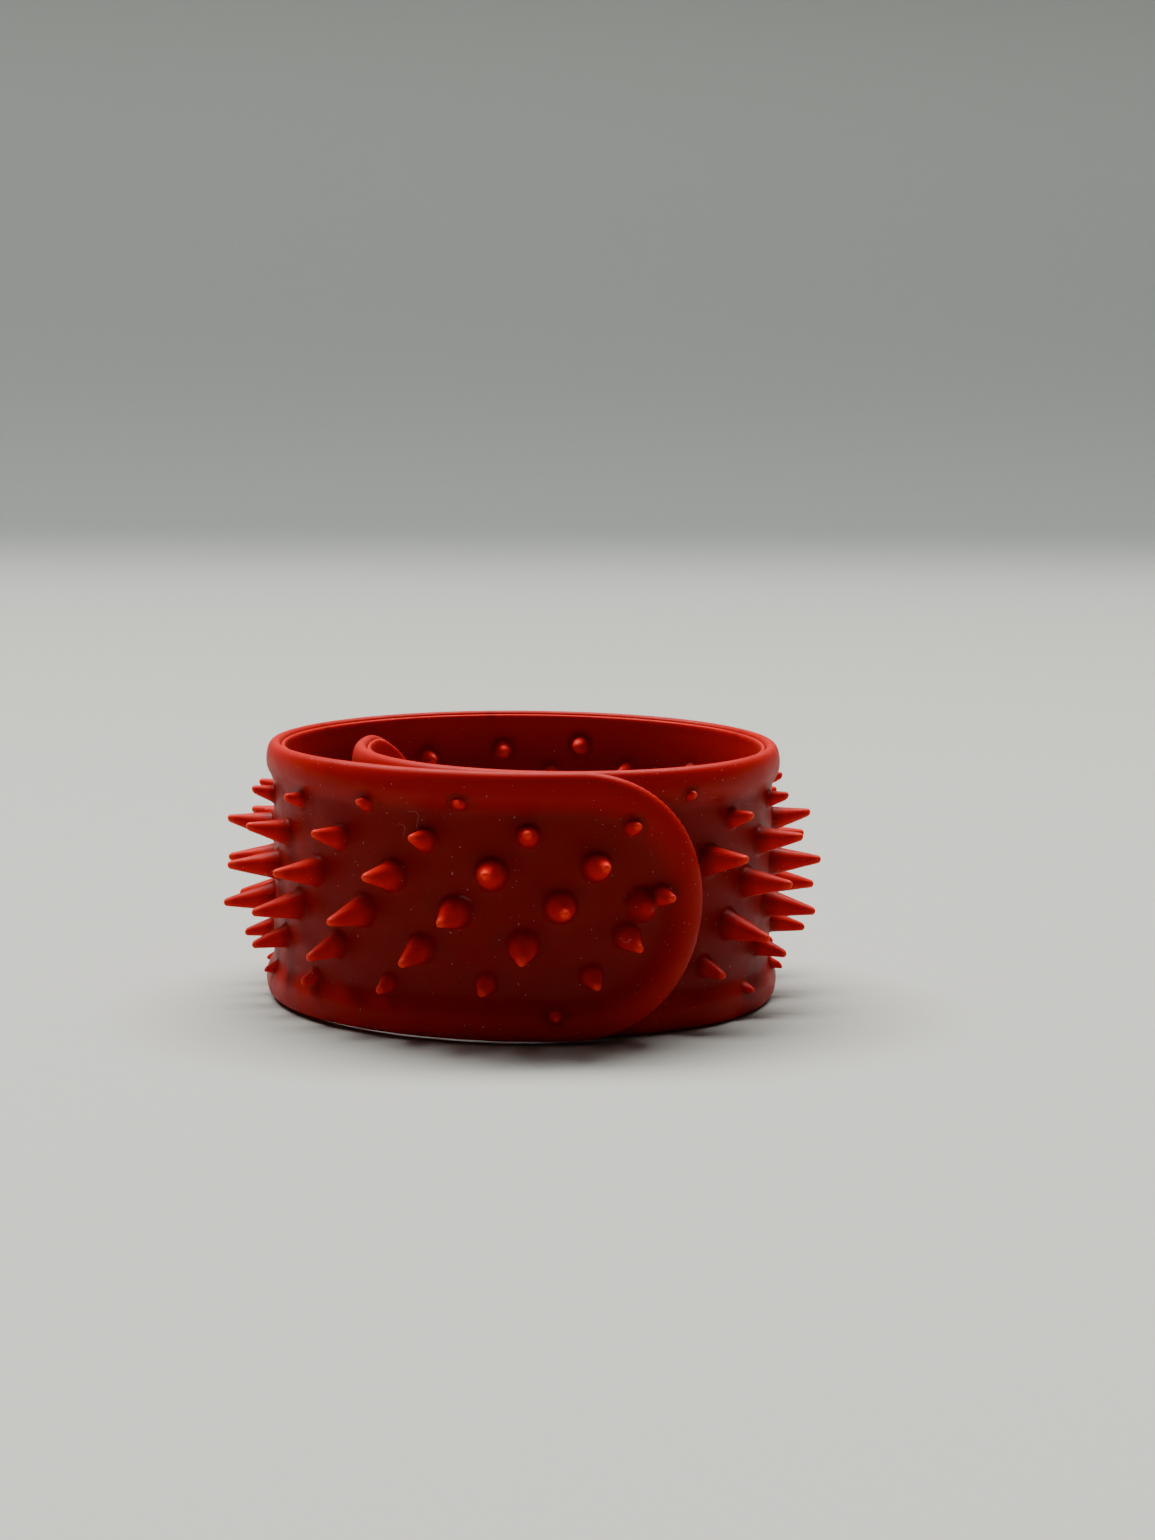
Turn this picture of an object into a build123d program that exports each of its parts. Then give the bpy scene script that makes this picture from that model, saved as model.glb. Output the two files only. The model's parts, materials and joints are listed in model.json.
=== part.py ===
"""Spiked silicone wrist band, coiled one and a third turns and standing on its edge.

A bistable steel strip lies between an outer silicone shell, which carries tall soft spikes, and an
inner silicone liner, which carries short grip nubs. The band flexes everywhere, so each of the three
pieces is cut into links at evenly spaced flexing lines. The origin is the middle of the wrist
opening on the table, +Z points up along the coil's axis and -Y faces the overlap.
"""
from build123d import *
import math
import os

# Band
BAND_WIDTH = 30.0
LINK_PITCH = 12.47
# Coil: where the outer end starts, the way the first link points, and the bend at each flexing line
COIL_START = (17.76, -24.71)
START_HEADING = 200.9
TURNS = (
    22.5, 23.5, 24, 25.8, 25, 24.2, 25, 25, 25, 25.5, 25.5, 26, 26.5, 28.5, 30.5, 32.4, 31.8, 30, 26.8,
)
# Thickness, measured outwards from the middle of the steel strip
FACE_OUT = 0.7
BEAD_OUT = 1.6
STEEL_OUT = 0.1
LINER_BACK = 0.1
LINER_IN = 0.6
# Edges, measured in from the band's outline
BEAD_CREST = 2.2
BEAD_LAND = 0.4
BEAD_FOOT = 5.0
END_FACE_INSET = 3.6
STEEL_INSET = 3.0
LINER_INSET = 0.35
REST_LAND = (0.1, 0.6)
EDGE_BEVEL = 0.3
# Points the bead's two arcs pass through, as (outwards, inset)
BEAD_OUTER_ARC = (1.32, 0.75)
BEAD_INNER_ARC = (1.05, 3.9)
# Gap at each flexing line, and the plan room a link may take up
JOINT_GAP = 0.15
JOINT_ROOM = 10.0
# Height of the tools that cut the recess and the rounded ends
RECESS_TOP = 4.0
OUTLINE_REACH = 12.0
# Outer spikes: a skewed lattice of (along the band, up) steps, taller away from the outline,
# which closes up a little beyond the outer end's stretch
SPIKE_ORIGIN = (35.3, 17.75)
SPIKE_STEP = (-11.25, 0.83)
SPIKE_ROW = (3.9, -4.3)
OPEN_STRETCH = 55.0
CLOSING = 0.96
SPIKE_MAX = 6.0
SPIKE_SLOPE = 0.66
SPIKE_SHORTENING = 1.3
SPIKE_END_EXTRA = 2.0
SPIKE_END_REACH = 12.0
SPIKE_EDGE = 3.1
SPIKE_TAPER = 0.21
SPIKE_BASE = 0.5
SPIKE_TIP_RADIUS = 0.5
SPIKE_TIP_SHARE = 0.7
BUMP_ROOT = 0.35
# Inner nubs: the same kind of lattice, mirrored
NUB_ORIGIN = (117.7, 25.9)
NUB_STEP = (10.0, 0.77)
NUB_ROW = (-3.67, -3.81)
NUB_HEIGHT = 2.0
NUB_RADIUS = 1.15
NUB_TIP_RADIUS = 0.75
NUB_EDGE = 3.5
NUB_ROOT = 0.2
# Moulding boss near the outer end
BOSS_PLACE = (7.6, 15.0)
BOSS_RADIUS = 2.1
BOSS_TOP_RADIUS = 1.35
BOSS_HEIGHT = 1.9
# Where the coil overlaps itself, spikes and nubs lie pressed between the two laps
OUTER_LAP_LINKS = 8
INNER_LAP_START = 165.0
LAP_MARGIN = 1.0
ARC_OVERLAP = 4.0
PRESSED_SPIKE_SHARE = 0.55
PRESSED_NUB_SHARE = 0.25
LAP_ALLOWANCE = 2.4
SHORTEST_SPIKE = 0.35

LINKS = len(TURNS) + 1
BAND_LENGTH = LINKS * LINK_PITCH
END_RADIUS = BAND_WIDTH / 2
LATTICE_REACH = 40
HALF = LINK_PITCH / 2


def bend(k):
    """Angle of link k's own arc: the mean of the bends at its two ends."""
    return (TURNS[max(k - 1, 0)] + TURNS[min(k, LINKS - 2)]) / 2


def arc_radius(k):
    return HALF / math.sin(math.radians(bend(k) / 2))


def centre_offset(k):
    """Distance from the link's chord inwards to its arc's centre."""
    return arc_radius(k) * math.cos(math.radians(bend(k) / 2))


def coil_planes():
    """One plane per link, at the middle of its chord: x along the band, y outwards, z up."""
    x, y = COIL_START
    heading = START_HEADING
    planes = []
    for k in range(LINKS):
        along = (math.cos(math.radians(heading)), math.sin(math.radians(heading)))
        middle = (x + along[0] * HALF, y + along[1] * HALF, 0)
        planes.append(Plane(origin=middle, x_dir=(*along, 0), z_dir=(0, 0, 1)))
        x += along[0] * LINK_PITCH
        y += along[1] * LINK_PITCH
        heading -= TURNS[k] if k < LINKS - 1 else 0
    return planes


PLANES = coil_planes()


def link_and_angle(s):
    """The link at distance s along the band, and how far round its arc that is."""
    k = min(int(s / LINK_PITCH), LINKS - 1)
    return k, math.radians(bend(k)) * (s / LINK_PITCH - k - 0.5)


def surface_plane(s, z, out):
    """Plane on the surface at (s, z), in its link's frame, with its z pointing outwards."""
    k, angle = link_and_angle(s)
    normal = (math.sin(angle), math.cos(angle), 0)
    reach = arc_radius(k) + out
    base = (normal[0] * reach, normal[1] * reach - centre_offset(k), z)
    return Plane(origin=base, z_dir=normal)


def edge_distance(s, z):
    """Distance from (s, z) to the outline of the flat band, which has fully rounded ends."""
    along = min(s, BAND_LENGTH - s)
    if along < END_RADIUS:
        return END_RADIUS - math.hypot(END_RADIUS - along, z - END_RADIUS)
    return min(z, BAND_WIDTH - z)


def face_gap(s, z):
    """Room between the two laps' faces at (s, z) on either lap, if the other lap lies over it."""
    k, angle = link_and_angle(s)
    reach = arc_radius(k)
    local = Vector(math.sin(angle) * reach, math.cos(angle) * reach - centre_offset(k), 0)
    point = PLANES[k].from_local_coords(local)
    other = range(OUTER_LAP_LINKS) if s > INNER_LAP_START else range(LINKS - OUTER_LAP_LINKS, LINKS)
    gaps = []
    for n in other:
        spoke = PLANES[n].to_local_coords(point) + Vector(0, centre_offset(n), 0)
        turned = math.degrees(math.atan2(spoke.X, spoke.Y))
        facing = (n + 0.5 + turned / bend(n)) * LINK_PITCH
        if abs(turned) <= bend(n) / 2 + ARC_OVERLAP and edge_distance(facing, z) > -LAP_MARGIN:
            gaps.append(abs(arc_radius(n) - spoke.length) - FACE_OUT - LINER_IN)
    return min(gaps, default=math.inf)


def spike_height(s, z):
    extra = SPIKE_END_EXTRA * max(1 - s / SPIKE_END_REACH, 0)
    height = min(SPIKE_MAX, SPIKE_SLOPE * edge_distance(s, z) - SPIKE_SHORTENING + extra)
    if s > INNER_LAP_START:
        gap = face_gap(s, z)
        height = min(height, max(PRESSED_SPIKE_SHARE * gap, gap - LAP_ALLOWANCE))
    return height


def nub_height(s, z):
    if s < OUTER_LAP_LINKS * LINK_PITCH:
        return min(NUB_HEIGHT, PRESSED_NUB_SHARE * face_gap(s, z))
    return NUB_HEIGHT


def lattice(origin, step, row, edge, closing=1.0):
    """Lattice points on the band that are at least edge inside its outline."""
    points = []
    for i in range(-LATTICE_REACH, LATTICE_REACH):
        for j in range(-LATTICE_REACH, LATTICE_REACH):
            s = origin[0] + i * step[0] + j * row[0]
            s -= (1 - closing) * max(s - OPEN_STRETCH, 0)
            z = origin[1] + i * step[1] + j * row[1]
            if 0 < s < BAND_LENGTH and 0 < z < BAND_WIDTH and edge_distance(s, z) >= edge:
                points.append((s, z))
    return points


def section_plane(k):
    """Plane through the link's arc axis and its inner-end side: x outwards, y up."""
    half = math.radians(bend(k) / 2)
    return Plane(
        origin=(0, -centre_offset(k), 0),
        x_dir=(math.sin(half), math.cos(half), 0),
        z_dir=(math.cos(half), -math.sin(half), 0),
    )


def arc_axis(k):
    return Axis((0, -centre_offset(k), 0), (0, 0, 1))


def ring_band(k, inner, outer, inset):
    """Plain rectangular section swept round the link's arc."""
    radius = arc_radius(k)
    with BuildPart() as ring:
        with BuildSketch(section_plane(k)):
            with Locations((radius + (inner + outer) / 2, BAND_WIDTH / 2)):
                Rectangle(outer - inner, BAND_WIDTH - 2 * inset)
        revolve(axis=arc_axis(k), revolution_arc=bend(k))
    return ring.part


def rounded_edge_band(k):
    """Shell section with both edges rounded over, before its face is recessed."""
    radius = arc_radius(k)
    with BuildPart() as ring:
        with BuildSketch(section_plane(k)):
            with BuildLine():
                lower = Polyline(
                    (radius - LINER_BACK, BAND_WIDTH / 2),
                    (radius - LINER_BACK, EDGE_BEVEL),
                    (radius + REST_LAND[0], 0),
                    (radius + REST_LAND[1], 0),
                )
                bulge = (radius + BEAD_OUTER_ARC[0], BEAD_OUTER_ARC[1])
                rounding = ThreePointArc(lower @ 1, bulge, (radius + BEAD_OUT, BEAD_CREST))
                Line(rounding @ 1, (radius + BEAD_OUT, BAND_WIDTH / 2))
                mirror(about=Plane.XZ.offset(-BAND_WIDTH / 2))
            make_face()
        revolve(axis=arc_axis(k), revolution_arc=bend(k))
    return ring.part


def face_recess(k):
    """What is taken off between the two beads, with their inner slopes rounded."""
    radius = arc_radius(k)
    land = BEAD_CREST + BEAD_LAND
    with BuildPart() as ring:
        with BuildSketch(section_plane(k)):
            with BuildLine():
                floor = Line((radius + FACE_OUT, BAND_WIDTH / 2), (radius + FACE_OUT, BEAD_FOOT))
                hollow = (radius + BEAD_INNER_ARC[0], BEAD_INNER_ARC[1])
                slope = ThreePointArc(floor @ 1, hollow, (radius + BEAD_OUT, land))
                Polyline(slope @ 1, (radius + RECESS_TOP, land), (radius + RECESS_TOP, BAND_WIDTH / 2))
                mirror(about=Plane.XZ.offset(-BAND_WIDTH / 2))
            make_face()
        revolve(axis=arc_axis(k), revolution_arc=bend(k))
    return ring.part


def end_prism(k, inset):
    """The band's outline drawn in by inset, as a prism through link k's thickness."""
    side = 1 if k == 0 else -1
    middle = side * (END_RADIUS - HALF)
    with BuildPart() as prism:
        with BuildSketch(Plane.XZ):
            with Locations((middle, END_RADIUS)):
                Circle(END_RADIUS - inset)
            with Locations((middle + side * END_RADIUS, END_RADIUS)):
                Rectangle(2 * END_RADIUS, BAND_WIDTH - 2 * inset)
        extrude(amount=OUTLINE_REACH, both=True)
    return prism.part


def joint_prism(k):
    """Room that link k may fill in plan: square cut outside the steel, mitred inside it."""
    stop = HALF - JOINT_GAP
    before = math.tan(math.radians(TURNS[max(k - 1, 0)] / 2)) if k > 0 else 0
    after = math.tan(math.radians(TURNS[min(k, LINKS - 2)] / 2)) if k < LINKS - 1 else 0
    left = -HALF - 1 if k == 0 else -stop
    right = HALF + 1 if k == LINKS - 1 else stop
    with BuildPart() as prism:
        with BuildSketch():
            with BuildLine():
                Polyline(
                    (left, 0),
                    (left, JOINT_ROOM),
                    (right, JOINT_ROOM),
                    (right, 0),
                    (right - JOINT_ROOM / 2 * after, -JOINT_ROOM / 2),
                    (left + JOINT_ROOM / 2 * before, -JOINT_ROOM / 2),
                    close=True,
                )
            make_face()
        extrude(amount=BAND_WIDTH)
    return prism.part


def is_end(k):
    return k in (0, LINKS - 1)


def within(shape, *tools):
    """The part of a shape that lies inside every tool."""
    with BuildPart() as kept:
        add(shape)
        for tool in tools:
            add(tool, mode=Mode.INTERSECT)
    return kept.part


def trimmed(k, shape, inset):
    """A link's shape kept to its joint room, and on an end link to the rounded outline."""
    outline = [end_prism(k, inset)] if is_end(k) else []
    return within(shape, joint_prism(k), *outline)


def bump(plane, base, tip, height, root):
    """A cone on a plane, with a root that reaches below it."""
    with BuildPart(plane.offset(-root)) as cone:
        Cone(base, tip, height + root, align=(Align.CENTER, Align.CENTER, Align.MIN))
    return cone.part


def shell_bumps(k, spikes):
    """The link's spikes, and on the outer end link the boss."""
    bumps = []
    for s, z in spikes:
        height = spike_height(s, z)
        if height >= SHORTEST_SPIKE:
            base = SPIKE_TAPER * height + SPIKE_BASE
            tip = min(SPIKE_TIP_RADIUS, SPIKE_TIP_SHARE * base)
            bumps.append(bump(surface_plane(s, z, FACE_OUT), base, tip, height, BUMP_ROOT))
    if k == 0:
        place = surface_plane(*BOSS_PLACE, FACE_OUT)
        bumps.append(bump(place, BOSS_RADIUS, BOSS_TOP_RADIUS, BOSS_HEIGHT, BUMP_ROOT))
    return bumps


def spiked_shell(k, spikes):
    band = rounded_edge_band(k)
    recess = face_recess(k)
    if is_end(k):
        band = within(band, end_prism(k, 0))
        recess = within(recess, end_prism(k, END_FACE_INSET))
    bumps = shell_bumps(k, spikes)
    room = joint_prism(k)
    strip = steel_strip(k)
    with BuildPart() as shell:
        add(band)
        add(recess, mode=Mode.SUBTRACT)
        add(bumps)
        add(room, mode=Mode.INTERSECT)
        add(strip, mode=Mode.SUBTRACT)
    return shell.part


def steel_strip(k):
    return trimmed(k, ring_band(k, -STEEL_OUT, STEEL_OUT, STEEL_INSET), STEEL_INSET)


def liner_bumps(nubs):
    bumps = []
    for s, z in nubs:
        height = nub_height(s, z)
        if height >= SHORTEST_SPIKE:
            outer = surface_plane(s, z, -LINER_IN)
            inward = Plane(origin=outer.origin, z_dir=-outer.z_dir)
            bumps.append(bump(inward, NUB_RADIUS, NUB_TIP_RADIUS, height, NUB_ROOT))
    return bumps


def nubbed_liner(k, nubs):
    band = ring_band(k, -LINER_IN, -LINER_BACK, LINER_INSET)
    bumps = liner_bumps(nubs)
    with BuildPart() as liner:
        add(band)
        if bumps:
            add(bumps)
    return trimmed(k, liner.part, LINER_INSET)


def on_link(points, k):
    return [point for point in points if link_and_angle(point[0])[0] == k]


os.makedirs("parts", exist_ok=True)
spike_points = lattice(SPIKE_ORIGIN, SPIKE_STEP, SPIKE_ROW, SPIKE_EDGE, CLOSING)
nub_points = lattice(NUB_ORIGIN, NUB_STEP, NUB_ROW, NUB_EDGE)

for k, plane in enumerate(PLANES):
    layers = {
        "shell": spiked_shell(k, on_link(spike_points, k)),
        "steel": steel_strip(k),
        "liner": nubbed_liner(k, on_link(nub_points, k)),
    }
    for layer, shape in layers.items():
        with BuildPart() as piece:
            with Locations(plane):
                add(shape)
        piece.part.label = f"{layer}_{k + 1:02d}"
        export_step(piece.part, f"parts/{piece.part.label}.step")

for k, plane in enumerate(PLANES[:-1]):
    hinge = plane.from_local_coords(Vector(HALF, 0, 0))
    print(f"hinge {k + 1:02d} x {hinge.X:.4f} y {hinge.Y:.4f} turn {TURNS[k]}")
print("spikes", len(spike_points), "nubs", len(nub_points))
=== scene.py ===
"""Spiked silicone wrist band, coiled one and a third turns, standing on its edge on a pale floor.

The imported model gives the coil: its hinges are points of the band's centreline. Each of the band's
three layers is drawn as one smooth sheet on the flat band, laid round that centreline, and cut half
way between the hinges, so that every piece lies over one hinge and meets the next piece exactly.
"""
import bpy
import json
import math
import random
import numpy as np
from mathutils import Matrix, Vector
from mathutils.geometry import delaunay_2d_cdt


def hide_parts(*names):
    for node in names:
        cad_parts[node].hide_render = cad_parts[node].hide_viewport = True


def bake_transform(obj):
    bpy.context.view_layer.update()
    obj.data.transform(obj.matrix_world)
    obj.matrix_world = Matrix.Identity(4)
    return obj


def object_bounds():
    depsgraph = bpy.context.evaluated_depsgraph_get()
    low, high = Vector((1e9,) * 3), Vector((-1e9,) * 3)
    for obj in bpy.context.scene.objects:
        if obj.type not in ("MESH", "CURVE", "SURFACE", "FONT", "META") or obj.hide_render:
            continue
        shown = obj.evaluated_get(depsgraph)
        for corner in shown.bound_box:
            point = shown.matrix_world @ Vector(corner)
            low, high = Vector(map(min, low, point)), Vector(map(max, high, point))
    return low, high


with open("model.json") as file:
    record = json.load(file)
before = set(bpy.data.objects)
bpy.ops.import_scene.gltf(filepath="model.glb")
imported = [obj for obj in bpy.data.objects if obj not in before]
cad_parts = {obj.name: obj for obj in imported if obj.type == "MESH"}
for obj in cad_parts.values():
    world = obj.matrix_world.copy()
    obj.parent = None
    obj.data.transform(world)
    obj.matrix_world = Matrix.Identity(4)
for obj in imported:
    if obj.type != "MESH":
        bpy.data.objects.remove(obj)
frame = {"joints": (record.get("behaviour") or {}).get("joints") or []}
cad_low, cad_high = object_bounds()

MM = 0.001

# Band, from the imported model
JOINTS = sorted(frame["joints"], key=lambda joint: joint["name"])
HINGES = np.array([joint["pos_m"][:2] for joint in JOINTS])
TURNS = [math.radians(joint["range_deg"][1]) for joint in JOINTS]
PITCH = float(np.linalg.norm(HINGES[1] - HINGES[0]))
LINKS = len(HINGES) + 1
LENGTH = LINKS * PITCH
WIDTH = cad_high.z - cad_low.z
END_RADIUS = WIDTH / 2

# Faces, measured outwards from the middle of the steel strip
FACE_OUT = 0.7 * MM
LINER_IN = 0.6 * MM
# Sections from the hidden parting line, round the edge and on to the face: (inset, outwards)
SHELL_EDGE = np.array([
    (0.95, -0.07), (0.62, -0.07), (0.40, -0.04), (0.22, 0.05), (0.08, 0.20), (0.0, 0.40),
    (0.0, 0.62), (0.07, 0.86), (0.22, 1.07), (0.45, 1.25), (0.78, 1.40), (1.20, 1.51),
    (1.70, 1.58), (2.20, 1.60), (2.65, 1.57), (3.05, 1.47), (3.45, 1.30), (3.85, 1.09),
    (4.25, 0.89), (4.65, 0.76), (5.10, 0.70),
]) * MM
LINER_EDGE = np.array([
    (1.20, -0.13), (0.80, -0.13), (0.56, -0.16), (0.42, -0.25), (0.36, -0.38), (0.42, -0.51),
    (0.56, -0.60), (0.80, -0.64), (1.15, -0.64), (1.50, -0.61), (1.90, -0.60),
]) * MM
STEEL_EDGE = np.array([(3.02, -0.1), (3.0, -0.06), (3.0, 0.06), (3.02, 0.1), (3.3, 0.1)]) * MM

# Outer spikes: a skewed lattice, as its origin and two steps of (along the band, up), which closes up
# a little beyond the outer end's stretch. They are taller away from the outline and near the outer end,
# and the upper ones lean up, the lower ones down.
SPIKE_LATTICE = ((35.3 * MM, 17.75 * MM), (-11.25 * MM, 0.83 * MM), (3.9 * MM, -4.3 * MM))
OPEN_STRETCH = 55 * MM
CLOSING = 0.96
SPIKE_MAX = 6.0 * MM
SPIKE_SLOPE = 0.66
SPIKE_SHORTENING = 1.3 * MM
SPIKE_END_EXTRA = 2.0 * MM
SPIKE_END_REACH = 12 * MM
SPIKE_EDGE = 3.0 * MM
SPIKE_TAPER = 0.21
SPIKE_BASE = 0.50 * MM
SPIKE_TIP = 0.52 * MM
SPIKE_TIP_SHARE = 0.62
SPIKE_FILLET = 0.45 * MM
SPIKE_FAN = math.radians(13.5)
SPIKE_FAN_REACH = 5 * MM
SPIKE_WANDER = math.radians(1.6)
SPIKE_SEED = 4
# Inner nubs: the same kind of lattice, mirrored
NUB_LATTICE = ((117.7 * MM, 25.9 * MM), (10.0 * MM, 0.77 * MM), (-3.67 * MM, -3.81 * MM))
NUB_HEIGHT = 2.0 * MM
NUB_RADIUS = 1.15 * MM
NUB_TIP = 0.72 * MM
NUB_TIP_SHARE = 0.7
NUB_FILLET = 0.25 * MM
NUB_EDGE = 3.5 * MM
# Moulding boss near the outer end
BOSS_PLACE = (7.6 * MM, 15.0 * MM)
BOSS_RADIUS = 2.1 * MM
BOSS_TOP = 1.5 * MM
BOSS_HEIGHT = 1.9 * MM
BOSS_FILLET = 0.3 * MM
# How much of a spike's painted light, its paler colour, the boss gets
BOSS_PAINTED_LIGHT = 0.22
# The outer end rides up a little, clear of the table
END_LIFT = 0.4 * MM
LIFT_FADES = (38 * MM, 88 * MM)
# Where the coil overlaps itself, spikes and nubs lie pressed between the two laps
LAP_LENGTH = 100 * MM
INNER_LAP_START = 165 * MM
LAP_MARGIN = 1.0 * MM
LAP_STEP = 0.5 * MM
PRESSED_SPIKE_SHARE = 0.55
PRESSED_NUB_SHARE = 0.25
LAP_ALLOWANCE = 2.4 * MM
SHORTEST_BUMP = 0.35 * MM

# Mesh
TINY = 1e-6
GRID = 1.0 * MM
BACK_GRID = 2.4 * MM
RING_STEP = 0.42 * MM
BACK_CLEARANCE = 0.8 * MM
SIDE_STEP = 1.1 * MM
BUMP_CLEARANCE = 0.45 * MM
RING_GAP = 0.12 * MM
RING_POINTS = (8, 26)
FILLET_SHARE = 0.4
LATTICE_REACH = 40
# Sections nearer the outline than this turn under the edge
EDGE_TURN = 1.5 * MM
# How much painted light the rim bead gets, painted paler as a share of a spike's height, and where along
# the sheet that fades
RIM_PAINTED_LIGHT = 0.20
RIM_PAINTED_LIGHT_FADES = (2.6 * MM, 7.6 * MM)
# Share of a link kept in from each end of a piece when its end points on the centreline are found
RIGID_SHARE = 0.09


def direction(angle):
    return np.array([math.cos(angle), math.sin(angle)])


def centreline_knots():
    """The ends and the hinges of the middle of the strip, and the way the band runs at each."""
    between = [math.atan2(step[1], step[0]) for step in np.diff(HINGES, axis=0)]
    headings = np.unwrap([between[0] + TURNS[0], *between, between[-1] - TURNS[-1]])
    start = HINGES[0] - PITCH * direction(headings[0])
    end = HINGES[-1] + PITCH * direction(headings[-1])
    tangents = [headings[0] + TURNS[0] / 2]
    tangents += [heading - turn / 2 for heading, turn in zip(headings, TURNS)]
    tangents += [headings[-1] - TURNS[-1] / 2]
    return np.array([start, *HINGES, end]), np.array([direction(t) for t in tangents])


KNOTS, TANGENTS = centreline_knots()
BENDS = np.array([TURNS[0], *[(a + b) / 2 for a, b in zip(TURNS, TURNS[1:])], TURNS[-1]])


def along(s):
    """Position and outward normal of the middle of the strip at distances s along the band."""
    s = np.asarray(s, float)
    k = np.clip((s / PITCH).astype(int), 0, LINKS - 1)
    u = (s / PITCH - k)[:, None]
    pull = (PITCH * (1 + (BENDS[k] / 2) ** 2 / 6))[:, None]
    a, b, ta, tb = KNOTS[k], KNOTS[k + 1], TANGENTS[k] * pull, TANGENTS[k + 1] * pull
    place = (2 * u**3 - 3 * u**2 + 1) * a + (u**3 - 2 * u**2 + u) * ta
    place += (3 * u**2 - 2 * u**3) * b + (u**3 - u**2) * tb
    run = 6 * (u**2 - u) * (a - b) + (3 * u**2 - 4 * u + 1) * ta + (3 * u**2 - 2 * u) * tb
    run /= np.linalg.norm(run, axis=1)[:, None]
    return place, np.stack([-run[:, 1], run[:, 0]], axis=1)


def coiled(s, z, out):
    """Points at s along the band, z up and out from the middle of the strip."""
    place, normal = along(s)
    plan = place + normal * np.asarray(out, float)[:, None]
    down = np.clip((s - LIFT_FADES[0]) / (LIFT_FADES[1] - LIFT_FADES[0]), 0, 1)
    return np.column_stack([plan, z + END_LIFT * (1 - down * down * (3 - 2 * down))])


def from_core(s, across):
    """Nearest point of the stadium's core line, and the way from it: (core, offset, distance)."""
    core = np.clip(s, END_RADIUS, LENGTH - END_RADIUS)
    offset = np.stack([s - core, across], axis=-1)
    return core, offset, np.hypot(offset[..., 0], offset[..., 1])


class Layer:
    """A layer's sheet: the flat band, with its edge section unrolled flat around it."""

    def __init__(self, edge, back_out):
        run = np.hypot(*np.diff(edge, axis=0).T)
        self.face_radius = END_RADIUS - edge[-1, 0]
        self.reach = self.face_radius + np.append(np.cumsum(run[::-1])[::-1], 0)
        self.radius = END_RADIUS - edge[:, 0]
        self.out = edge[:, 1]
        self.face_out = edge[-1, 1]
        self.back_out = back_out

    def surface(self, flat):
        """The sheet's points (along, across) on the coiled band's visible side."""
        core, offset, distance = from_core(flat[:, 0], flat[:, 1])
        radius = np.interp(distance, [0, *self.reach[::-1]], [0, *self.radius[::-1]])
        out = np.interp(distance, [0, *self.reach[::-1]], [self.face_out, *self.out[::-1]])
        return self.laid(core, offset, distance, radius, out)

    def back(self, flat):
        """The same points on the layer's hidden side."""
        core, offset, distance = from_core(flat[:, 0], flat[:, 1])
        ends = [0, self.face_radius, self.reach[0]]
        radius = np.interp(distance, ends, [0, self.face_radius, self.radius[0]])
        out = np.interp(distance, ends, [self.back_out, self.back_out, self.out[0]])
        return self.laid(core, offset, distance, radius, out)

    def laid(self, core, offset, distance, radius, out):
        share = (radius / np.maximum(distance, 1e-9))[:, None]
        s = core + offset[:, 0] * share[:, 0]
        z = END_RADIUS + offset[:, 1] * share[:, 0]
        return coiled(s, z, out)

    def flattened(self, s, z):
        """Where the band's point (s, z) lies on the sheet."""
        core, offset, distance = from_core(np.array([s]), np.array([z - END_RADIUS]))
        shown = self.radius < END_RADIUS - EDGE_TURN
        known = [0, *self.radius[shown][::-1]]
        reach = np.interp(distance, known, [0, *self.reach[shown][::-1]])
        share = reach / np.maximum(distance, 1e-9)
        return np.array([core[0] + offset[0, 0] * share[0], offset[0, 1] * share[0]])


def edge_distance(s, z):
    """Distance from (s, z) to the outline of the flat band, which has fully rounded ends."""
    return END_RADIUS - float(from_core(np.array(s), np.array(z - END_RADIUS))[2])


def lattice(origin, step, row, edge, closing=1.0):
    """Lattice points on the band that are at least edge inside its outline."""
    points = []
    for i in range(-LATTICE_REACH, LATTICE_REACH):
        for j in range(-LATTICE_REACH, LATTICE_REACH):
            s = origin[0] + i * step[0] + j * row[0]
            s -= (1 - closing) * max(s - OPEN_STRETCH, 0)
            z = origin[1] + i * step[1] + j * row[1]
            if 0 < s < LENGTH and 0 < z < WIDTH and edge_distance(s, z) >= edge:
                points.append((s, z))
    return points


def face_gap(s, z):
    """Room between the two laps' faces at (s, z) on either lap, if the other lap lies over it."""
    here = along([s])[0]
    over = (0, LAP_LENGTH) if s > INNER_LAP_START else (INNER_LAP_START, LENGTH)
    other = np.arange(*over, LAP_STEP)
    apart = np.linalg.norm(along(other)[0] - here, axis=1)
    nearest = int(apart.argmin())
    if nearest in (0, len(other) - 1) or edge_distance(other[nearest], z) < -LAP_MARGIN:
        return math.inf
    return float(apart[nearest]) - FACE_OUT - LINER_IN


def soft_cone(height, base, tip, flare):
    """(radius, height) pairs of a moulded cone, from the foot of its fillet to its rounded tip.

    The fillet is a quadratic curve that reaches flare out from the cone's foot and as far up its side.
    """
    lean = math.atan2(base - tip, height - tip)
    top = np.array([tip * math.cos(lean), height - tip + tip * math.sin(lean)])
    foot = np.array([base, 0.0])
    up = (top - foot) / np.linalg.norm(top - foot)
    flare = min(flare, FILLET_SHARE * float(np.linalg.norm(top - foot)))
    start, stop = foot + (flare, 0), foot + up * flare
    bend = [(1 - t) ** 2 * start + 2 * t * (1 - t) * foot + t * t * stop for t in (0, 0.3, 0.6, 1)]
    count = max(int(np.linalg.norm(top - stop) / SIDE_STEP), 1)
    sides = [stop + (top - stop) * (n + 1) / count for n in range(count)]
    caps = [(tip * math.cos(a), height - tip + tip * math.sin(a))
            for a in np.linspace(lean, math.pi / 2, 5)[1:]]
    return [tuple(point) for point in (*bend, *sides, *caps)]


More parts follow.
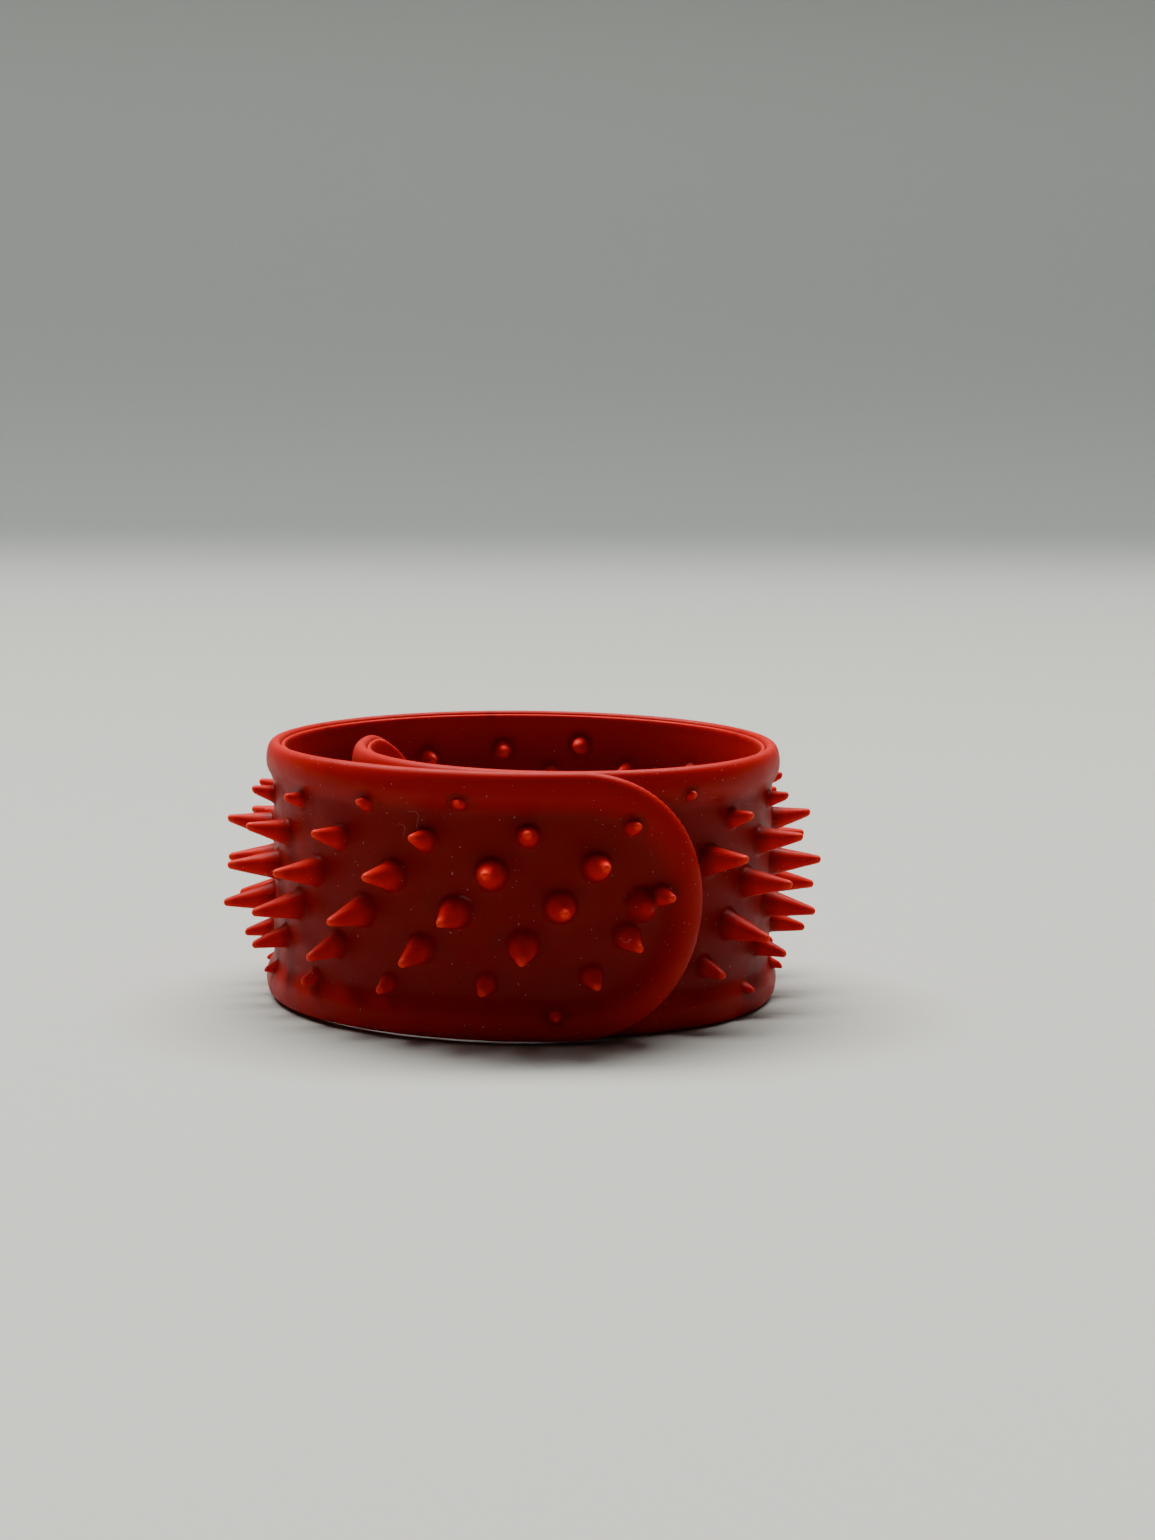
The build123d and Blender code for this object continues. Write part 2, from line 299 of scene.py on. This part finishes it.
class Bump:
    """A spike, nub or boss on a layer: its place, its rings, the way it points and how much painted
    light it gets.
    """

    def __init__(self, layer, s, z, rings, tilt=0.0, yaw=0.0, outwards=1, painted_light_weight=1.0):
        self.centre = layer.flattened(s, z)
        self.rings = rings
        self.height = rings[-1][1]
        self.painted_light_weight = painted_light_weight
        normal = along([s])[1][0] * outwards
        run = np.array([normal[1], -normal[0], 0.0])
        level = np.array([normal[0], normal[1], 0.0])
        way = level + run * math.tan(yaw) + np.array([0, 0, math.tan(tilt)])
        self.way = way / np.linalg.norm(way)

    def reach(self):
        return self.rings[0][0]

    def height_at(self, flat):
        """Height of the bump over points of the sheet."""
        radii, heights = np.array(self.rings[::-1]).T
        return np.interp(np.hypot(*(flat - self.centre).T), radii, heights)


def spike_bumps(layer):
    """The boss and the spikes, which are short where the outer lap presses on them."""
    drift = random.Random(SPIKE_SEED)
    bumps = []
    for s, z in lattice(*SPIKE_LATTICE, SPIKE_EDGE, CLOSING):
        extra = SPIKE_END_EXTRA * max(1 - s / SPIKE_END_REACH, 0)
        height = min(SPIKE_MAX, SPIKE_SLOPE * edge_distance(s, z) - SPIKE_SHORTENING + extra)
        wander = (drift.uniform(-1, 1) * SPIKE_WANDER, drift.uniform(-1, 1) * SPIKE_WANDER)
        if s > INNER_LAP_START:
            gap = face_gap(s, z)
            height = min(height, max(PRESSED_SPIKE_SHARE * gap, gap - LAP_ALLOWANCE))
        if height < SHORTEST_BUMP:
            continue
        base = SPIKE_TAPER * height + SPIKE_BASE
        tip = min(SPIKE_TIP, SPIKE_TIP_SHARE * base)
        fan = SPIKE_FAN * math.tanh((z - END_RADIUS) / SPIKE_FAN_REACH)
        rings = soft_cone(height, base, tip, SPIKE_FILLET)
        bumps.append(Bump(layer, s, z, rings, fan + wander[0], wander[1]))
    rings = soft_cone(BOSS_HEIGHT, BOSS_RADIUS, BOSS_TOP, BOSS_FILLET)
    boss = Bump(layer, *BOSS_PLACE, rings, painted_light_weight=BOSS_PAINTED_LIGHT)
    return [boss, *bumps]


def nub_bumps(layer):
    """The grip nubs, which are short where they press on the inner lap."""
    bumps = []
    for s, z in lattice(*NUB_LATTICE, NUB_EDGE):
        height = NUB_HEIGHT
        if s < LAP_LENGTH:
            height = min(height, PRESSED_NUB_SHARE * face_gap(s, z))
        if height >= SHORTEST_BUMP:
            tip = min(NUB_TIP, NUB_TIP_SHARE * height)
            rings = soft_cone(height, NUB_RADIUS, tip, NUB_FILLET)
            bumps.append(Bump(layer, s, z, rings, outwards=-1))
    return bumps


def stadium(reach, step):
    """Points evenly round a stadium on the sheet whose ends have radius reach."""
    straight = np.linspace(END_RADIUS, LENGTH - END_RADIUS, round((LENGTH - 2 * END_RADIUS) / step))
    if reach < TINY:
        return np.column_stack([straight, np.zeros_like(straight)])
    turn = np.linspace(0, math.pi, max(round(math.pi * reach / step), 3) + 1)[1:-1]
    right = np.column_stack([LENGTH - END_RADIUS + reach * np.sin(turn), reach * np.cos(turn)])
    left = np.column_stack([END_RADIUS - reach * np.sin(turn), reach * np.cos(turn)])
    sides = [np.column_stack([straight, np.full_like(straight, side * reach)]) for side in (1, -1)]
    return np.vstack([*sides, right, left])


def sheet_points(layer, bumps):
    """The sheet's points, with each one's bump (or -1) and its height up that bump.

    A bump's rings give way to those of any later bump that stands against it.
    """
    inner = np.arange(0, layer.face_radius - GRID / 2, GRID)
    field = np.vstack([stadium(reach, GRID) for reach in (*inner, *layer.reach)])
    free = np.ones(len(field), bool)
    for bump in bumps:
        free &= np.hypot(*(field - bump.centre).T) > bump.reach() + BUMP_CLEARANCE
    flat, owner, rise_and_painted_light = [field[free]], [np.full(free.sum(), -1)], [np.zeros(free.sum())]
    for index, bump in enumerate(bumps):
        for n, (radius, height) in enumerate(bump.rings):
            around = 2 * math.pi * radius / RING_STEP
            count = 1 if radius < TINY else int(np.clip(around, *RING_POINTS))
            angles = 2 * math.pi * (np.arange(count) + 0.5 * (n % 2)) / count
            ring = bump.centre + radius * np.column_stack([np.cos(angles), np.sin(angles)])
            for later in bumps[index + 1:]:
                if np.hypot(*(later.centre - bump.centre)) < bump.reach() + later.reach():
                    ring = ring[np.hypot(*(ring - later.centre).T) > later.reach() + RING_GAP]
            flat.append(ring)
            owner.append(np.full(len(ring), index))
            rise_and_painted_light.append(np.full(len(ring), height))
    return np.vstack(flat), np.concatenate(owner), np.concatenate(rise_and_painted_light)


def triangulated(flat, edges=(), kind=0):
    """Delaunay triangles over the sheet's points, inside the given edges if kind is 1."""
    points = [Vector(point) for point in flat / MM]
    result = delaunay_2d_cdt(points, list(edges), [], kind, 1e-7)
    source = np.array([ids[0] if ids else -1 for ids in result[3]])
    return np.array([[source[corner] for corner in face] for face in result[2]])


def vertex_normals(points, triangles):
    corners = points[triangles]
    facing = np.cross(corners[:, 1] - corners[:, 0], corners[:, 2] - corners[:, 0])
    total = np.zeros_like(points)
    for corner in range(3):
        np.add.at(total, triangles[:, corner], facing)
    return total / np.maximum(np.linalg.norm(total, axis=1), 1e-20)[:, None]


def boundary(triangles):
    """Edges that only one of the triangles has, each in that triangle's own direction."""
    edges = np.vstack([triangles[:, [0, 1]], triangles[:, [1, 2]], triangles[:, [2, 0]]])
    keys, place, count = np.unique(np.sort(edges, axis=1), axis=0, return_index=True, return_counts=True)
    return edges[place[count == 1]]


def hidden_side(layer, flat, rim_edges):
    """Flat points and triangles that close a piece behind, inside its outline."""
    used = np.unique(rim_edges)
    low, high = flat[used].min(0), flat[used].max(0)
    runs = np.arange(low[0], high[0], BACK_GRID)
    rows = np.arange(low[1], high[1], BACK_GRID)
    grid = np.array([(a, b) for a in runs for b in rows])
    near = np.array([np.hypot(*(flat[used] - point).T).min() for point in grid])
    local = {vertex: n for n, vertex in enumerate(used)}
    points = np.vstack([flat[used], grid[near > BACK_CLEARANCE]])
    edges = [(local[a], local[b]) for a, b in rim_edges]
    return used, points, triangulated(points, edges, 1)


def build_piece(name, layer, sheet, triangles, material):
    """One closed piece of a layer, with the whole sheet's own normals on its visible side."""
    flat, points, normals, rise_and_painted_light = sheet
    rim_edges = boundary(triangles)
    used, behind, behind_triangles = hidden_side(layer, flat, rim_edges)
    front = np.unique(triangles)
    front_index = np.full(len(flat), -1)
    front_index[front] = np.arange(len(front))
    outline = from_core(flat[used][:, 0], flat[used][:, 1])[2] > layer.reach[0] - 1e-7
    behind_index = len(front) + np.arange(len(behind))
    behind_index[:len(used)][outline] = front_index[used[outline]]
    back_of = {vertex: behind_index[n] for n, vertex in enumerate(used)}
    faces = [list(face) for face in front_index[triangles]]
    shown = len(faces)
    faces += [list(face[::-1]) for face in behind_index[behind_triangles]]
    for a, b in rim_edges:
        wall = [front_index[b], front_index[a], back_of[a], back_of[b]]
        wall = list(dict.fromkeys(int(corner) for corner in wall))
        if len(wall) > 2:
            faces.append(wall)
    vertices = np.vstack([points[front], layer.back(behind)])
    kept = np.unique([corner for face in faces for corner in face])
    renumber = np.full(len(vertices), -1)
    renumber[kept] = np.arange(len(kept))
    mesh = bpy.data.meshes.new(name)
    mesh.from_pydata(vertices[kept].tolist(), [], [[int(renumber[c]) for c in face] for face in faces])
    mesh.polygons.foreach_set("use_smooth", [n < shown for n in range(len(faces))])
    # This attribute carries each point's share of painted light, for the shader
    heights = mesh.attributes.new("rise_and_painted_light", "FLOAT", "POINT")
    known = np.concatenate([rise_and_painted_light[front], np.zeros(len(behind))])[kept]
    heights.data.foreach_set("value", known.astype(np.float32))
    custom = np.zeros((len(mesh.loops), 3))
    custom[:shown * 3] = normals[triangles.reshape(-1)]
    mesh.normals_split_custom_set(custom.tolist())
    mesh.materials.append(material)
    piece = bpy.data.objects.new(name, mesh)
    bpy.context.scene.collection.objects.link(piece)
    return piece


def build_layer(title, node, layer, bumps, material, inward=False):
    """A layer's pieces, each lying over one hinge, with the CAD pieces it covers hidden."""
    flat, owner, rise_and_painted_light = sheet_points(layer, bumps)
    triangles = triangulated(flat)
    points = layer.surface(flat)
    ways = np.array([bump.way for bump in bumps] + [np.zeros(3)])
    tops = np.array([bump.height for bump in bumps] + [1.0])
    # Spikes that reach over the first bump, the shell's boss, stand on it
    under = bumps[0].height_at(flat) if bumps else np.zeros(len(flat))
    under[owner == 0] = 0
    points += ways[owner] * np.maximum(rise_and_painted_light - under, 0)[:, None] + ways[0] * under[:, None]
    first, second, third = flat[triangles].transpose(1, 0, 2)
    wrong = (np.cross(second - first, third - first) > 0) != inward
    triangles[wrong] = triangles[wrong][:, ::-1]
    normals = vertex_normals(points, triangles)
    # Painted light: each point's share of the paler colour, from its height up its bump and the bump's
    # weight
    share = rise_and_painted_light / tops[owner] * np.array([bump.painted_light_weight for bump in bumps] + [1.0])[owner]
    inset = layer.reach[0] - from_core(flat[:, 0], flat[:, 1])[2]
    # Painted light: the rim bead near the outline is painted paler, fading inwards
    share = np.where(owner < 0, np.interp(inset, RIM_PAINTED_LIGHT_FADES, (RIM_PAINTED_LIGHT, 0)), share)
    centres = np.array([bump.centre[0] for bump in bumps] + [0.0])
    own = owner[triangles]
    whole = (own[:, 0] >= 0) & (own[:, 0] == own[:, 1]) & (own[:, 0] == own[:, 2])
    place = np.where(whole, centres[own[:, 0]], flat[triangles][:, :, 0].mean(1))
    hinge = np.clip(np.round(place / PITCH), 1, LINKS - 1).astype(int)
    for number in range(1, LINKS):
        piece = build_piece(f"{title}_{number:02d}", layer, (flat, points, normals, share),
                            triangles[hinge == number], material)
        margin = RIGID_SHARE * PITCH
        ends = along([(number - 0.5) * PITCH + margin, (number + 0.5) * PITCH - margin])[0]
        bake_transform(piece)
        last = [f"{node}_{LINKS:02d}"] if number == LINKS - 1 else []
        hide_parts(f"{node}_{number:02d}", *last)


# Materials

# Colours of the face, of what rises from it and of the tips, and how much dust shows; what rises is
# painted paler as painted light, and the tips paler still as a painted glow
SHELL_REDS_WITH_PAINTED_LIGHT = ((0.225, 0.0, 0.0, 1), (0.55, 0.002, 0.0, 1), (0.74, 0.03, 0.012, 1))
SHELL_DUST = 0.22
LINER_REDS_WITH_PAINTED_LIGHT = ((0.27, 0.0, 0.0, 1), (0.62, 0.004, 0.002, 1), (0.72, 0.03, 0.015, 1))
LINER_DUST = 0.2
LINT = (0.75, 0.68, 0.64, 1)


def shader(name):
    material = bpy.data.materials.new(name)
    material.use_nodes = True
    tree = material.node_tree
    return material, tree, tree.nodes["Principled BSDF"]


def node(tree, kind, **settings):
    made = tree.nodes.new(kind)
    for key, value in settings.items():
        if key in made.inputs:
            made.inputs[key].default_value = value
        else:
            setattr(made, key, value)
    return made


def noise(tree, coordinates, scale, detail=3.0, roughness=0.55):
    made = node(tree, "ShaderNodeTexNoise", Scale=scale, Detail=detail, Roughness=roughness)
    tree.links.new(coordinates, made.inputs["Vector"])
    return made.outputs["Fac"]


def ramp(tree, value, low, high, to_low=0.0, to_high=1.0):
    made = node(tree, "ShaderNodeMapRange")
    for key, number in (("From Min", low), ("From Max", high), ("To Min", to_low), ("To Max", to_high)):
        made.inputs[key].default_value = number
    tree.links.new(value, made.inputs["Value"])
    return made.outputs["Result"]


def mixed(tree, factor, first, second, blend="MIX"):
    """Mix of two colours, either of which may be a socket or a plain colour."""
    made = node(tree, "ShaderNodeMix", data_type="RGBA", blend_type=blend)
    for socket, value in ((0, factor), (6, first), (7, second)):
        if isinstance(value, bpy.types.NodeSocket):
            tree.links.new(value, made.inputs[socket])
        else:
            made.inputs[socket].default_value = value
    return made.outputs[2]


def maths(tree, first, second, operation="MULTIPLY"):
    made = node(tree, "ShaderNodeMath", operation=operation)
    for socket, value in enumerate((first, second)):
        if isinstance(value, bpy.types.NodeSocket):
            tree.links.new(value, made.inputs[socket])
        else:
            made.inputs[socket].default_value = value
    return made.outputs[0]


def silicone(name, face, painted_lit_raised, tip, dust):
    """Moulded silicone: matt, slightly uneven, lit through by subsurface light where it is thin, with a
    little dust; spikes, nubs and the rim bead are painted paler as painted light, and the tips paler
    still as a painted glow.
    """
    material, tree, surface = shader(name)
    place = tree.nodes.new("ShaderNodeTexCoord").outputs["Object"]
    rise_and_painted_light = node(tree, "ShaderNodeAttribute", attribute_name="rise_and_painted_light").outputs["Fac"]
    blotch = ramp(tree, noise(tree, place, 55, 2.0), 0.3, 0.7, 0.0, 0.5)
    colour = mixed(tree, blotch, face, [channel * 0.80 for channel in face[:3]] + [1])
    # Painted light: what rises from the face (spikes, nubs, boss, rim bead) is painted in the paler
    # colour by its share
    colour = mixed(tree, ramp(tree, rise_and_painted_light, 0.03, 0.35), colour, painted_lit_raised)
    # Painted glow: the top of each rise is painted in the still paler tip colour
    colour = mixed(tree, ramp(tree, rise_and_painted_light, 0.80, 1.0, 0, 0.8), colour, tip)
    specks = ramp(tree, noise(tree, place, 3600, 0.0), 0.825, 0.86, 0, dust)
    fibre = maths(tree, maths(tree, noise(tree, place, 300, 1.0), 0.5, "SUBTRACT"), 0.0, "ABSOLUTE")
    fibre = ramp(tree, fibre, 0.003, 0.007, 1, 0)
    patch = ramp(tree, noise(tree, place, 170, 0.0), 0.77, 0.82, 0, dust * 0.7)
    lint = maths(tree, specks, maths(tree, fibre, patch), "MAXIMUM")
    colour = mixed(tree, lint, colour, LINT)
    tree.links.new(colour, surface.inputs["Base Color"])
    rough = ramp(tree, noise(tree, place, 420, 3.0), 0.3, 0.7, 0.42, 0.56)
    tree.links.new(rough, surface.inputs["Roughness"])
    surface.inputs["Sheen Weight"].default_value = 0.02
    surface.inputs["Sheen Roughness"].default_value = 0.45
    surface.inputs["Sheen Tint"].default_value = (0.9, 0.62, 0.58, 1)
    surface.inputs["Subsurface Weight"].default_value = 0.3
    surface.inputs["Subsurface Radius"].default_value = (1.0, 0.25, 0.15)
    surface.inputs["Subsurface Scale"].default_value = 1.2 * MM
    surface.inputs["IOR"].default_value = 1.41
    surface.inputs["Specular IOR Level"].default_value = 0.12
    fine = node(tree, "ShaderNodeBump", Strength=0.16, Distance=0.05 * MM)
    tree.links.new(noise(tree, place, 3200, 2.0), fine.inputs["Height"])
    broad = node(tree, "ShaderNodeBump", Strength=0.25, Distance=0.12 * MM)
    tree.links.new(noise(tree, place, 240, 2.0), broad.inputs["Height"])
    tree.links.new(fine.outputs["Normal"], broad.inputs["Normal"])
    tree.links.new(broad.outputs["Normal"], surface.inputs["Normal"])
    return material


def brushed_steel():
    """Cold-rolled spring strip with fine lines along its length."""
    material, tree, surface = shader("spring_steel")
    place = node(tree, "ShaderNodeMapping")
    place.inputs["Scale"].default_value = (40, 40, 4000)
    tree.links.new(tree.nodes.new("ShaderNodeTexCoord").outputs["Object"], place.inputs["Vector"])
    lines = noise(tree, place.outputs["Vector"], 1.0, 4.0)
    colour = mixed(tree, lines, (0.42, 0.42, 0.44, 1), (0.62, 0.62, 0.63, 1))
    tree.links.new(colour, surface.inputs["Base Color"])
    tree.links.new(ramp(tree, lines, 0.3, 0.7, 0.22, 0.4), surface.inputs["Roughness"])
    surface.inputs["Metallic"].default_value = 1.0
    return material


# Stage

FLOOR_REACH = 3.0
SWEEP_START = 0.47
SWEEP_RADIUS = 0.28
WALL_HEIGHT = 1.2
# Paper colour at heights up the sweep, in metres; the darkening up the wall is painted shade
PAPER_WITH_PAINTED_SHADE = (
    (0.0, (0.395, 0.399, 0.375)),
    (0.001, (0.392, 0.402, 0.382)),
    (0.019, (0.165, 0.181, 0.173)),
    (0.060, (0.152, 0.168, 0.160)),
    (0.180, (0.228, 0.246, 0.235)),
)


def backdrop():
    """Table top that sweeps up into a wall behind."""
    arc = np.linspace(0, math.pi / 2, 24)
    rows = [(-FLOOR_REACH, 0.0), (-0.5, 0.0), (0.2, 0.0)]
    rows += [(SWEEP_START + SWEEP_RADIUS * math.sin(a), SWEEP_RADIUS * (1 - math.cos(a))) for a in arc]
    rows += [(SWEEP_START + SWEEP_RADIUS, WALL_HEIGHT)]
    vertices = [(side * FLOOR_REACH, y, z) for y, z in rows for side in (-1, 1)]
    faces = [(2 * n, 2 * n + 1, 2 * n + 3, 2 * n + 2) for n in range(len(rows) - 1)]
    mesh = bpy.data.meshes.new("floor")
    mesh.from_pydata(vertices, [], faces)
    mesh.polygons.foreach_set("use_smooth", [True] * len(faces))
    floor = bpy.data.objects.new("floor", mesh)
    bpy.context.scene.collection.objects.link(floor)
    mesh.materials.append(paper_with_painted_shade())


def paper_with_painted_shade():
    """Matt pale paper, warmer on the table and cooler up the wall, with painted shade that darkens it up
    the wall.
    """
    material, tree, surface = shader("paper_with_painted_shade")
    place = tree.nodes.new("ShaderNodeTexCoord").outputs["Object"]
    split = tree.nodes.new("ShaderNodeSeparateXYZ")
    tree.links.new(place, split.inputs["Vector"])
    top = PAPER_WITH_PAINTED_SHADE[-1][0]
    shades = tree.nodes.new("ShaderNodeValToRGB")
    shades.color_ramp.interpolation = "EASE"
    while len(shades.color_ramp.elements) < len(PAPER_WITH_PAINTED_SHADE):
        shades.color_ramp.elements.new(0.5)
    for stop, (height, colour) in zip(shades.color_ramp.elements, PAPER_WITH_PAINTED_SHADE):
        stop.position = height / top
        stop.color = (*colour, 1)
    # Painted shade: the colour ramp darkens the paper up the sweep
    tree.links.new(ramp(tree, split.outputs["Z"], 0.0, top), shades.inputs["Fac"])
    grain = ramp(tree, noise(tree, place, 900, 2.0), 0.3, 0.7, 0.0, 0.06)
    colour = mixed(tree, grain, shades.outputs["Color"], (0.25, 0.25, 0.24, 1))
    tree.links.new(colour, surface.inputs["Base Color"])
    surface.inputs["Roughness"].default_value = 0.75
    surface.inputs["Specular IOR Level"].default_value = 0.2
    return material


def softbox(name, place, aim, size, power, colour=(1, 1, 1)):
    light = bpy.data.lights.new(name, "AREA")
    light.shape = "RECTANGLE"
    light.size, light.size_y = size
    light.energy = power
    light.color = colour
    lamp = bpy.data.objects.new(name, light)
    lamp.location = place
    lamp.rotation_euler = (Vector(aim) - Vector(place)).to_track_quat("-Z", "Y").to_euler()
    bpy.context.scene.collection.objects.link(lamp)


def lights():
    softbox("overhead", (-0.05, 0.80, 1.6), (0, 0.1, 0), (2.3, 0.62), 142.0, (1.0, 0.99, 0.96))
    softbox("top", (-0.1, 0.05, 1.5), (0, 0, 0), (0.9, 0.4), 4.0, (1.0, 0.98, 0.94))
    world = bpy.data.worlds.new("room")
    bpy.context.scene.world = world
    world.use_nodes = True
    background = world.node_tree.nodes["Background"]
    background.inputs["Color"].default_value = (1.0, 0.84, 0.74, 1)
    background.inputs["Strength"].default_value = 0.045


# Camera: place, pitch down, turn to the right and roll, and focal length
CAMERA_PLACE = (-23.54 * MM, -384.43 * MM, 80.26 * MM)
CAMERA_PITCH = math.radians(7.947)
CAMERA_TURN = math.radians(4.393)
CAMERA_ROLL = math.radians(0.595)
CAMERA_LENS = 76.87


def camera():
    data = bpy.data.cameras.new("camera")
    data.lens = CAMERA_LENS
    data.sensor_width = 36
    data.clip_start = 0.01
    data.clip_end = 20
    made = bpy.data.objects.new("camera", data)
    ahead = Vector((math.sin(CAMERA_TURN) * math.cos(CAMERA_PITCH),
                    math.cos(CAMERA_TURN) * math.cos(CAMERA_PITCH), -math.sin(CAMERA_PITCH)))
    level = Vector((math.cos(CAMERA_TURN), -math.sin(CAMERA_TURN), 0))
    above = level.cross(ahead)
    right = level * math.cos(CAMERA_ROLL) + above * math.sin(CAMERA_ROLL)
    up = above * math.cos(CAMERA_ROLL) - level * math.sin(CAMERA_ROLL)
    turn = Matrix((right, up, -ahead)).transposed().to_4x4()
    made.matrix_world = Matrix.Translation(CAMERA_PLACE) @ turn
    bpy.context.scene.collection.objects.link(made)
    bpy.context.scene.camera = made


camera()
backdrop()
lights()

shell = Layer(SHELL_EDGE, 0.12 * MM)
liner = Layer(LINER_EDGE, -0.13 * MM)
steel = Layer(STEEL_EDGE, -0.1 * MM)
shell_red = silicone("shell_silicone", *SHELL_REDS_WITH_PAINTED_LIGHT, SHELL_DUST)
liner_red = silicone("liner_silicone", *LINER_REDS_WITH_PAINTED_LIGHT, LINER_DUST)
build_layer("spiked_shell", "shell", shell, spike_bumps(shell), shell_red)
build_layer("nubbed_liner", "liner", liner, nub_bumps(liner), liner_red, True)
build_layer("steel_strip", "steel", steel, [], brushed_steel())
